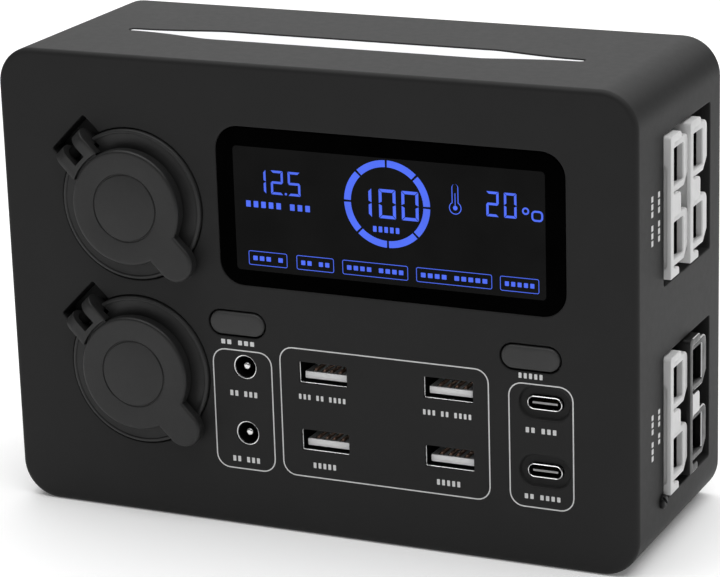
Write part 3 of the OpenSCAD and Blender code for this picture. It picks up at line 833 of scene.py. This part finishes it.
def port_frames():
    """Thin rounded frames round the three groups of ports, and generic marks in place of wording."""
    s = Shape()
    jack, usb, usb_c = JACKS["upper"], USB_A[1], USB_C[1]
    for edges in ((jack.x - 9.1, jack.x + 7.8, 15.9, 48.6), (usb.x - 12.1, usb.x + 45.9, 16.1, 51.0),
                  (usb_c.x - 9.5, usb_c.x + 7.6, 15.9, 48.7)):
        line_frame(s, *edges, 3.6, 0.32)

    # each row: the port it belongs to, its groups of blocks, and its left, right, bottom and top from there
    rows = [(Vector(), [2, 3], -26.0, -16.5, 49.95, 51.4), (Vector(), [5], 57.0, 63.4, 49.9, 51.5)]
    rows += [(at, [2, 3], -4.5, 3.3, -8.2, -6.5) for at in JACKS.values()]
    rows += [(USB_A[k], [3, 2, 4], -7.0, 6.2, -7.4, -5.8) for k in (1, 2)]
    rows += [(USB_A[k], [5], -3.6, 2.8, -7.6, -5.9) for k in (3, 4)]
    rows += [(USB_C[1], [2, 3], -5.1, 3.1, -8.1, -6.5), (USB_C[2], [2, 4], -5.5, 4.1, -7.8, -6.3)]
    for at, counts, left, right, low, high in rows:
        blocks(s, counts, at.x + left, at.x + right, at.z + low + 0.1, at.z + high - 0.1, 0.6)

    side = Shape(lambda u, v, h: on_side(v, u, h))
    for counts, z0, z1, y in (([3, 3], 84.0, 96.7, 0), ([3, 3], 84.0, 96.7, 5), ([3, 3], 28.0, 40.2, 0),
                              ([2, 3], 31.0, 40.2, 5)):
        middle = SIDE_MARK_Y + y
        blocks(side, counts, z0, z1, middle - SIDE_MARK_W/2, middle + SIDE_MARK_W/2, 0.5)
    s.add(side)
    s.piece("port_markings", [PRINT], "charcoal_shell")


# ---- buttons ----

def buttons():
    for name, at in BUTTONS.items():
        face, back = heights(name)
        lip_h = -WALL - 0.05
        section = [(-1.9, face + 0.02), (-1.2, face - 0.01), (-0.75, face - 0.05), (-0.4, face - 0.16),
                   (-0.15, face - 0.35), (-0.03, face - 0.6), (0, face - 0.8), (0, lip_h), (1, lip_h), (1, back)]
        s = Shape().solid(carried(stadium(*BUTTON_SIZE, (at.x, at.z), 14), section))
        s.piece(name + "_cap", [BUTTON], "button_plastic", name, name)


# ---- 12 V sockets, in axes of their own: a outwards along the strap, b across it, h out of the face ----

PIN_A, PIN_H = 20.2, 0.9
HINGE_SHIFT = 0.8       # the whole hinge sits this far to one side of the socket's middle line
KNUCKLE_R = 3.2
STRAP_HALF = 5.15
SLOT_HALF = 1.9
SLOT_START = 17.1
LUG_HALF, LUG_R = 1.6, 1.7
LID_R = 15.5
LID_H = 4.3
LID_UNDER = 1.3         # underside of the tab and the strap
TAB_A, TAB_R = 19.4, 5.1


def seen_along(place):
    """The same place for loops of (a, h) points at a distance b from the strap's middle."""
    return lambda a, h, b: place(a, HINGE_SHIFT + b, h)


def along_hinge(radius, half, place):
    """A cylinder along the hinge axis."""
    loop, across = circle(radius, (PIN_A, PIN_H), 48), seen_along(place)
    s = Shape(across)
    for b in (-half, half):
        for p, q in zip([loop[-1], *loop], loop):
            s.face([across(*p, b), across(*q, b), across(PIN_A, PIN_H, b)])
    s.rings([(loop, -half), (loop, half)])
    return s


def hinge_bar(a0, a1, half, h0, h1, place):
    """A box across the hinge, as wide as half each way from the strap's middle."""
    return bar((a0, HINGE_SHIFT - half, h0), (a1, HINGE_SHIFT + half, h1), place)


def flange(which, place):
    """The ring round a socket, its barrel, and the lug that holds the hinge pin."""
    s = Shape(place)
    bore, sleeve_r, collar, r = 10.5, 12.1, 14.6, FLANGE_R
    profile = [
        (BARREL_R, -3.4), (r, -3.4), (r, 0.15), (r - 0.06, 0.42), (r - 0.25, 0.64), (r - 0.55, 0.75),
        (r - 0.85, 0.75), (r - 1.0, 0.68), (r - 1.1, 0.55), (r - 1.4, 0.48), (r - 2.4, 0.36), (r - 3.6, 0.2),
        (collar + 0.9, 0.02), (collar + 0.4, -0.08), (collar, -0.1), (collar, 0.0), (collar - 0.2, 0.1),
        (bore + 0.9, 0.1), (bore + 0.7, -0.1), (bore + 0.7, -1.5), (sleeve_r, -1.5), (sleeve_r, -38),
        (BARREL_R, -38), (BARREL_R, -3.4),
    ]
    s.lathe(profile, 96)
    room = (along_hinge(KNUCKLE_R + 0.3, STRAP_HALF + 0.3, place)
            - hinge_bar(PIN_A - 6, PIN_A + 6, LUG_HALF, -8, 8, place))
    lug = hinge_bar(PIN_A - LUG_R, PIN_A + LUG_R, LUG_HALF, -6.3, PIN_H, place) + along_hinge(LUG_R, LUG_HALF, place)
    whole = (s - room + lug).weld()
    pin, origin = Vector(place(PIN_A, HINGE_SHIFT, 0)), Vector(place(0, 0, 0))
    outwards, across = Vector(place(1, 0, 0)) - origin, Vector(place(0, 1, 0)) - origin
    # the lug's faces get the near-black material: painted shade in the hinge slot
    whole.paint(1, lambda middle, _: abs((middle - pin) @ outwards) < LUG_R + 0.1
                and abs((middle - pin) @ across) < LUG_HALF + 0.05)
    whole.piece(which + "_socket_flange", [SOCKET, SHADE_BLACK], "socket_plastic", which + "_flange")


def socket_contact(which, place):
    """What closes the bottom of a socket: a black insulator, the centre contact in it, and its tab behind."""
    low, high = box(which + "_contact")
    (tip, tail), disc_r = heights(which + "_contact"), (high.x - low.x)/2
    front, back = tip - 1.7, tail + 8.0
    s = Shape(place)
    s.lathe([(disc_r, back), (disc_r, front - 0.3), (disc_r - 0.3, front), (8.2, front), (8.0, front - 0.7),
             (5.4, front - 0.7), (5.2, front), (4.4, front), (4.1, front - 0.1)])
    s.fill(circle(disc_r), (), back)
    s.fill(circle(4.1), (), front - 0.1)
    dome = [(0, front - 0.4), (0, front + 0.3), (-0.25, front + 0.65), (-0.8, tip - 0.45), (-1.1, tip - 0.15),
            (-1.5, tip)]
    rivet = Shape(place).solid(carried(circles(3.6, steps=48), dome))
    tab = bar((-3.2, -0.4, tail), (3.2, 0.4, back + 0.1), place).soften(0.15, 2)
    for part in (rivet, tab):
        s.add(part.paint(1))
    s.piece(which + "_socket_contact", [BLACK, BRASS], "black_plastic", which + "_contact")


def lid_outline(grow):
    """The lid's disc with its pull tab; the sharp notches between them stay sharp."""
    r, w = LID_R + grow, TAB_R + grow
    meet = math.degrees(math.asin(w/r))
    return arc((0, 0), r, -180 + meet, 180 - meet, 72) + arc((-TAB_A, 0), w, 90, 270, 20)


def lid_disc(place):
    """The lid without its strap: a ring's groove on top, and a plug with a hollow below."""
    s = Shape(place)
    top = [*rim(0.85, 6, -1, LID_H), (0, LID_UNDER + 0.3), (-0.3, LID_UNDER)]
    s.sweep(lid_outline, top)
    ring = circles(9.0, steps=72)
    groove = [(0.55, LID_H), (0.3, LID_H - 0.04), (0.12, LID_H - 0.3), (-0.1, LID_H - 0.3), (-0.3, LID_H),
              (-0.6, LID_H + 0.05)]
    s.fill(lid_outline(top[0][0]), [ring(0.55)], LID_H)
    s.sweep(ring, groove)
    s.fill(ring(-0.6), (), LID_H + 0.05)
    disc, plug_out, plug_in = circles(LID_R - 0.35, steps=96), circles(9.8, steps=72), circle(8.1, steps=72)
    under, plug_end = 0.3, -1.4
    s.fill(lid_outline(-0.3), [disc(0)], LID_UNDER)
    s.sweep(disc, [(0, LID_UNDER), (0, under + 0.3), (-0.3, under)])
    s.fill(disc(-0.3), [plug_out(0)], under)
    s.sweep(plug_out, [(0, under), (0, plug_end + 0.3), (-0.3, plug_end)])
    s.fill(plug_out(-0.3), [plug_in], plug_end)
    s.rings([(plug_in, plug_end), (plug_in, under)])
    s.fill(plug_in, (), under)
    return s


def strap(place):
    """The strap over the hinge: full width by the disc, split into two knuckles beyond the slot."""
    top, under_a, side_r = PIN_H + KNUCKLE_R, PIN_A - 2.2, 0.26
    turn_end = -math.degrees(math.acos((under_a - PIN_A)/KNUCKLE_R))

    def profile(b, cut, shrink):
        """The strap's outline at b, ending at the slot if cut, and moved inwards for the rounded sides."""
        near = math.sqrt((LID_R + 0.45)**2 - (b + HINGE_SHIFT)**2)
        points = [(near, LID_UNDER), (near, top - 0.4), (near + 0.12, top - 0.12), (near + 0.4, top)]
        points += arc((PIN_A, PIN_H), KNUCKLE_R, 90, turn_end, 22) + [(under_a, LID_UNDER)]
        if cut:
            points = [(a, h) if a <= SLOT_START else (SLOT_START, max(h, LID_UNDER)) for a, h in points]
        loop = []
        for a, h in points:
            out = Vector((a - PIN_A, h - PIN_H)) if a > PIN_A else Vector((0, 1 if h > 2 else -1))
            loop.append(Vector((a, h)) - out.normalized()*side_r*shrink if shrink else (a, h))
        return loop, b

    stations = [(-STRAP_HALF, 0, 1), (-STRAP_HALF + 0.08, 0, 0.35), (-STRAP_HALF + side_r, 0, 0)]
    stations += [(b, 0, 0) for b in (-3.9, -2.9, -SLOT_HALF - 0.3, -SLOT_HALF)] + [(-SLOT_HALF, 1, 0), (0, 1, 0)]
    stations += [(-b, cut, shrink) for b, cut, shrink in reversed(stations[:-1])]
    across = seen_along(place)
    loops, s = [profile(*station) for station in stations], Shape(across)
    s.rings(loops)
    for loop, b in (loops[0], loops[-1]):
        s.face([across(a, h, b) for a, h in loop])
    bridge = hinge_bar(LID_R - 3, LID_R + 1.2, STRAP_HALF - 0.8, LID_UNDER + 0.1, top - 1.1, place)
    return s + bridge


def sockets():
    for which, at in SOCKETS.items():
        place = on_front_at(at, SOCKET_TURN)
        flange(which, place)
        socket_contact(which, place)
        whole, name = lid_disc(place) + strap(place), which + "_lid"
        whole.piece(name + "_rubber", [LID], "black_rubber", name, name, sharp=38)


# ---- ports ----

def jacks():
    for which, at in JACKS.items():
        place = on_front_at(at)
        s = Shape(place)
        _, back = heights(which + "_jack_body")
        face, outer, hole_r, flange_h, floor = -0.4, 3.4, 2.98, -WALL - 0.2, -10
        s.slot = 1
        s.lathe([(outer, -1.6), (outer, face - 0.1), (outer - 0.1, face), (hole_r + 0.1, face),
                 (hole_r + 0.03, face - 0.03), (hole_r, face - 0.1), (hole_r, -1.0)])
        # from here on the near-black material: painted shade on the hole's wall and floor inside the rim, and on the
        # hidden body behind
        s.slot = 0
        s.lathe([(hole_r, -1.0), (hole_r - 0.1, -1.05), (hole_r - 0.1, floor)])
        s.fill(circle(hole_r - 0.1), (), floor)
        s.lathe([(outer, -1.6), (outer, flange_h)])
        block = rounded(9, 11, 0.6, steps=4)()
        s.fill(block, [circle(outer)], flange_h)
        s.rings([(block, flange_h), (block, back)])
        s.fill(block, (), back)
        s.piece(which + "_jack", [SHADE_BLACK, NICKEL], "black_plastic", which + "_jack_body")
        point = [(0, floor), (0, -1.7), (-0.08, -1.4), (-0.3, -1.19), (-0.6, -1.1)]
        pin = Shape(place).solid(carried(circles(1.05, steps=32), point))
        pin.piece(which + "_jack_centre_pin", [NICKEL], "nickel", which + "_jack_pin")


def drawn_shell(node, place, corner, steps, sheet_t):
    """A port's sheet metal shell: plated outside and round its mouth, with painted shade in near-black inside.
    Returns its back.
    """
    low, high = box(node)
    face, back = heights(node)
    width, height, edge, plated = high.x - low.x, high.z - low.z, 0.1, face - 0.35
    shape = rounded(width, height, min(corner, height/2), steps=steps)
    s = Shape(place)
    s.sweep(shape, [(0, back), (0, face - edge), (-edge, face), (-sheet_t + 0.08, face), (-sheet_t, face - edge),
                    (-sheet_t, plated)])
    # inside the shell, past the plated mouth: painted shade in near-black
    s.slot = 1
    s.sweep(shape, [(-sheet_t, plated), (-sheet_t, back), (0, back)])
    s.piece(node + "_drawn", [NICKEL, SHADE_BLACK], "nickel", node)
    return back


def usb_a():
    """Shells and tongues; each tongue has four slots with a spring contact in each."""
    columns, slot_front, slot_back, top = (-3.5, -1.0, 1.0, 3.5), -2.7, -9.8, -0.2
    for k, at in USB_A.items():
        place = on_front_at(at)
        back = drawn_shell(f"usb_a_shell_{k}", place, 0.6, 5, 0.3)
        tongue = bar((-5.9, -2.1, -10.4), (5.9, top, -2.0), place).soften(0.12, 2)
        whole = tongue + bar((-6.2, -2.5, back), (6.2, 2.5, -9.9), place)
        for x in columns:
            whole -= bar((x - 0.75, -0.9, slot_back), (x + 0.75, 0.4, slot_front), place)
        # the walls of the four slots get the near-black material: painted shade inside the slots
        whole.weld().paint(2, lambda middle, _: slot_back + 0.1 < FRONT - middle.y < slot_front + 0.05
                           and -1.0 < middle.z - at.z < top - 0.05)
        for x in columns:
            spring = bar((x - 0.45, -0.85, -9.95), (x + 0.45, -0.05, -3.0), place).soften(0.15, 2)
            crown = bar((x - 0.42, -0.6, -5.2), (x + 0.42, 0.3, -3.3), place).soften(0.35)
            for part in (spring, crown):
                whole.add(part.paint(1))
        node = f"usb_a_tongue_{k}"
        whole.piece(node + "_moulded", [WHITE, CONTACT, SHADE_BLACK], "white_plastic", node)


def usb_c():
    for k, at in USB_C.items():
        place = on_front_at(at)
        back = drawn_shell(f"usb_c_shell_{k}", place, 5, 12, 0.25)
        tongue = bar((-3.4, -0.3, -7.2), (3.4, 0.3, -0.5), place).soften(0.1, 2)
        whole = (tongue + Shape(place).slab(stadium(8.4, 2.7, steps=10)(), back, -6.6)).weld().paint(0)
        # faces turned to the front get light grey: a painted highlight on the tongue's front edge
        whole.paint(2, lambda middle, normal: normal.y < -0.9 and middle.y < FRONT + 1)
        for x in range(-5, 6):
            whole.add(bar((x*0.55 - 0.14, -0.36, -4.6), (x*0.55 + 0.14, 0.36, -1.6), place).paint(1))
        node = f"usb_c_tongue_{k}"
        whole.piece(node + "_moulded", [BLACK, BRASS, TONGUE_HIGHLIGHT], "black_plastic", node)


# ---- 50 A connectors, in axes of their own: s from the spine to the open side, t up, h out of the side ----

POLES = ((4.1, 13.5), (23.1, 32.5))     # the two openings' lower and upper ends
OPENING_S = (4.0, 11.6)
TUBE_S = (2.4, 15.1)
SPINE_S = 2.25
HOOD_DEPTH = 8.0
SET_BACK = 0.7
CORE_H, CORE_END = -2.3, -22
EDGE_HIGHLIGHTED = 4         # the black connector, with a light grey centre block face and painted highlights on its front edges


def trays():
    for which, (low, _) in BAYS.items():
        s, shape = Shape(on_side), bay_shape(which)
        deep, back = low.x + TRAY_T - SIDE, low.x - SIDE
        first, last = (CONNECTORS[k] for k in ((1, 2) if which == "upper" else (3, 4)))
        window = between(first[0].y - 0.1, last[1].y + 0.1, first[0].z - 0.1, first[1].z + 0.1, 0.3, 3)()
        s.sweep(shape, [(TRAY_T, back), (TRAY_T, -WALL), (0, -WALL), (0, deep + 0.6), (-0.18, deep + 0.18),
                        (-0.6, deep)])
        s.fill(shape(-0.6), [window], deep)
        s.rings([(window, deep), (window, back)])
        s.fill(shape(TRAY_T), [window], back)
        s.piece(which + "_connector_tray", [BLACK], "black_plastic", which + "_tray")


def hood_outline(height):
    """The hood from its open side: spine, foot, centre block and top hook, with their rounded corners."""
    return [
        (0, 0), (6.2, 0), (6.45, 0.25), (6.3, 1.6), (5.8, 2.0), (2.9, 2.1), (2.2, 2.8),
        (2.2, 14.6), (2.9, 15.4), (7.4, 15.4), (7.8, 15.8), *arc((6.4, 19.8), 1.4, 0, 90, 5), (2.9, 21.2),
        (2.2, 21.9), (2.2, height - 2.7), (2.9, height - 2.0), (7.9, height - 2.0), (8.3, height - 1.6),
        *arc((7.0, height - 1.3), 1.3, 0, 90, 5), *arc((1.0, height - 1.0), 1.0, 90, 180, 5),
    ]


def tube_outline(t0, t1):
    """A pole's tube: round upper rear corner, cut lower rear corner."""
    (s0, s1), low, high = TUBE_S, t0 - 1.8, t1 + 1.8
    r, cut = 2.2, 3.0
    return [(s0, low), (s1 - cut, low), (s1, low + cut), *arc((s1 - r, high - r), r, 0, 90, 6), (s0, high)]


def pole_loop(t0, t1, grow, slope):
    """A pole's opening; slope leans its upper and lower walls as they run towards the spine."""
    s0, s1 = OPENING_S
    points = []
    for s, t in between(s0, s1, t0, t1, 0.5, 4)(grow):
        across, along = (s - s0)/(s1 - s0), (t - t0)/(t1 - t0)
        foot, head = 1.0 - 1.65*across, 1.3 - 1.55*across
        points.append((s, t + slope*(foot + (head - foot)*along)))
    return points


def paint_block_face_and_edge_highlights(whole, low, place):
    """Gives a connector's centre block face and its front edges their own material slot: a light grey face, and
    painted highlights on the edges.
    """
    cuts = [(place(s, 0, 0), (0, 1, 0)) for s in (SPINE_S, 4.2)]
    cuts += [(place(0, t0 - 0.05, 0), (0, 0, 1)) for t0, _ in POLES]
    for at, normal in cuts:
        geom = [*whole.bm.verts, *whole.bm.edges, *whole.bm.faces]
        bmesh.ops.bisect_plane(whole.bm, geom=geom, plane_co=at, plane_no=normal, dist=1e-4)
    face = place(0, 0, 0)[0]

    def light(middle, normal):
        s, t = middle.y - low.y, middle.z - low.z
        tube_foot = any(t0 - 2.5 < t < t0 for t0, _ in POLES)
        block_face = normal.x > 0.75 and 14 < t < 22.5
        # the bevels turned towards the side: painted highlights in light grey
        edge = 0.1 < normal.x < 0.97 and not tube_foot
        return middle.x - face > -1.2 and s > SPINE_S and (block_face or edge)

    whole.paint(1, light)


def connector(k):
    low, high = CONNECTORS[k]
    height, face = high.z - low.z, high.x - SIDE
    place = lambda s, t, h: on_side(low.y + s, low.z + t, face + h)
    whole = Shape(place).slab(hood_outline(height), -HOOD_DEPTH - 0.5, 0).soften(0.35)
    whole += bar((0, 0, low.x - high.x), (high.y - low.y, height, -HOOD_DEPTH), place).soften(0.5)
    for pole in POLES:
        whole += Shape(place).slab(tube_outline(*pole), -HOOD_DEPTH - 0.6, -SET_BACK).soften(0.3)
    core = Shape(place)
    for pole in POLES:
        mouth, narrow, leaning = (pole_loop(*pole, grow, slope) for grow, slope in ((0.25, 0), (0, 0), (0, 1)))
        loops = [(mouth, 1), (mouth, -SET_BACK + 0.05), (narrow, -SET_BACK - 0.3), (leaning, CORE_H),
                 (leaning, CORE_END)]
        whole -= Shape(place).solid(loops)
        outer, inner = pole_loop(*pole, -0.05, 1), pole_loop(*pole, -0.28, 1)
        loops = [(outer, CORE_END + 0.1), (outer, CORE_H - 0.1), (inner, CORE_H), (inner, CORE_END + 0.2)]
        core.solid(loops)
    recess = rounded(7.5, 27.2, 1.6, (-4.75, 15.9), 5)()
    whole -= Shape(lambda h, t, s: place(s, t, h)).slab(recess, -1, 0.6)
    whole.weld().paint(0)
    main, slot = CONNECTOR, "grey_connector"
    # the black connector: a light grey centre block face and painted highlights on its front edges
    if k == EDGE_HIGHLIGHTED:
        paint_block_face_and_edge_highlights(whole, low, place)
        main, slot = CONNECTOR_BLACK, "black_connector"
    # the near-black lining deep in each pole, in the painted-shade material, which darkens the pole's inside
    whole.add(core.weld().paint(2))
    whole.piece(f"connector_{k}_body", [main, CONNECTOR, SHADE_BLACK], slot, f"connector_{k}")


def blades(k):
    """Two plated blades inside a connector's poles."""
    low, high = box(f"contacts_{k}")
    base = CONNECTORS[k][0]
    group = Shape()
    for (t0, t1), tail in zip(POLES, (3, 7)):
        group.add(bar((low.y, base.z + t0 + 0.5, base.x - tail - SIDE),
                      (high.y, base.z + t1 - 0.5, high.x - SIDE - 3.0), on_side).soften(0.25, 2))
    group.piece(f"contacts_{k}_plated", [SILVER], "silver_contact", f"contacts_{k}")


# ---- camera, floor and light ----

CAMERA_AT = (321.72, -694.19, 293.70)
CAMERA_YAW, CAMERA_PITCH, CAMERA_ROLL = 24.9087, 17.1098, -1.7754
CAMERA_LENS = 150.98
FLOOR_REACH = 4000.0


def camera():
    data = bpy.data.cameras.new("camera")
    data.sensor_fit, data.sensor_width, data.lens = "HORIZONTAL", 36.0, CAMERA_LENS
    data.clip_start, data.clip_end = 0.01, 20.0
    yaw, pitch, roll = (math.radians(a) for a in (CAMERA_YAW, CAMERA_PITCH, CAMERA_ROLL))
    made, turn = shown("camera", data), Matrix.Rotation
    aim = turn(yaw, 4, "Z") @ turn(math.pi/2 - pitch, 4, "X") @ turn(roll, 4, "Z")
    made.matrix_world = Matrix.Translation(Vector(CAMERA_AT)*MM) @ aim
    bpy.context.scene.camera = made


def softbox(name, at, aim, width, height, power):
    data = bpy.data.lights.new(name, "AREA")
    data.shape, data.size, data.size_y = "RECTANGLE", width, height
    data.energy = power
    made = shown(name, data)
    made.location = at
    made.rotation_euler = (Vector(aim) - Vector(at)).to_track_quat("-Z", "Y").to_euler()


def studio():
    floor, far = Shape(as_drawn), FLOOR_REACH
    floor.fill([(-far, -far), (far, -far), (far, far), (-far, far)], (), -0.05)
    data = floor.mesh("floor")
    n = Nodes("pale_floor")
    n.link(n.mix(n.spread(n.noise(400, 2)), linear(250), linear(252)), "Base Color")
    n.set(Roughness=0.9, Specular_IOR_Level=0.1, Emission_Color=(1, 1, 1, 1), Emission_Strength=0.1)
    data.materials.append(n.material)
    shown("floor", data)

    middle = (0, 0, 0.06)
    softbox("top_softbox", (0.0, 0.0, 1.6), (0, 0, 0), 2.4, 2.4, 43)
    softbox("back_softbox", (-0.3, 1.5, 0.75), middle, 1.8, 0.9, 6.8)
    softbox("right_softbox", (1.5, 0.5, 0.6), middle, 1.0, 0.9, 3.5)

    world = bpy.data.worlds.new("studio_white")
    bpy.context.scene.world = world
    world.use_nodes = True
    background = world.node_tree.nodes["Background"]
    background.inputs["Color"].default_value = (1, 1, 1, 1)
    background.inputs["Strength"].default_value = 0.148
    view = bpy.context.scene.view_settings
    view.view_transform, view.look, view.exposure = "Standard", "None", 0.0


# ---- everything ----

for name, material in CARRIED.items():
    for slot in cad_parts[name].material_slots:
        slot.link = "OBJECT"
        slot.material = material
for make in (housing, rear_cover, screws, light_strip, display_lens, display_graphics, port_frames, buttons,
             sockets, jacks, usb_a, usb_c, trays, camera, studio):
    make()
for k in CONNECTORS:
    connector(k)
    blades(k)
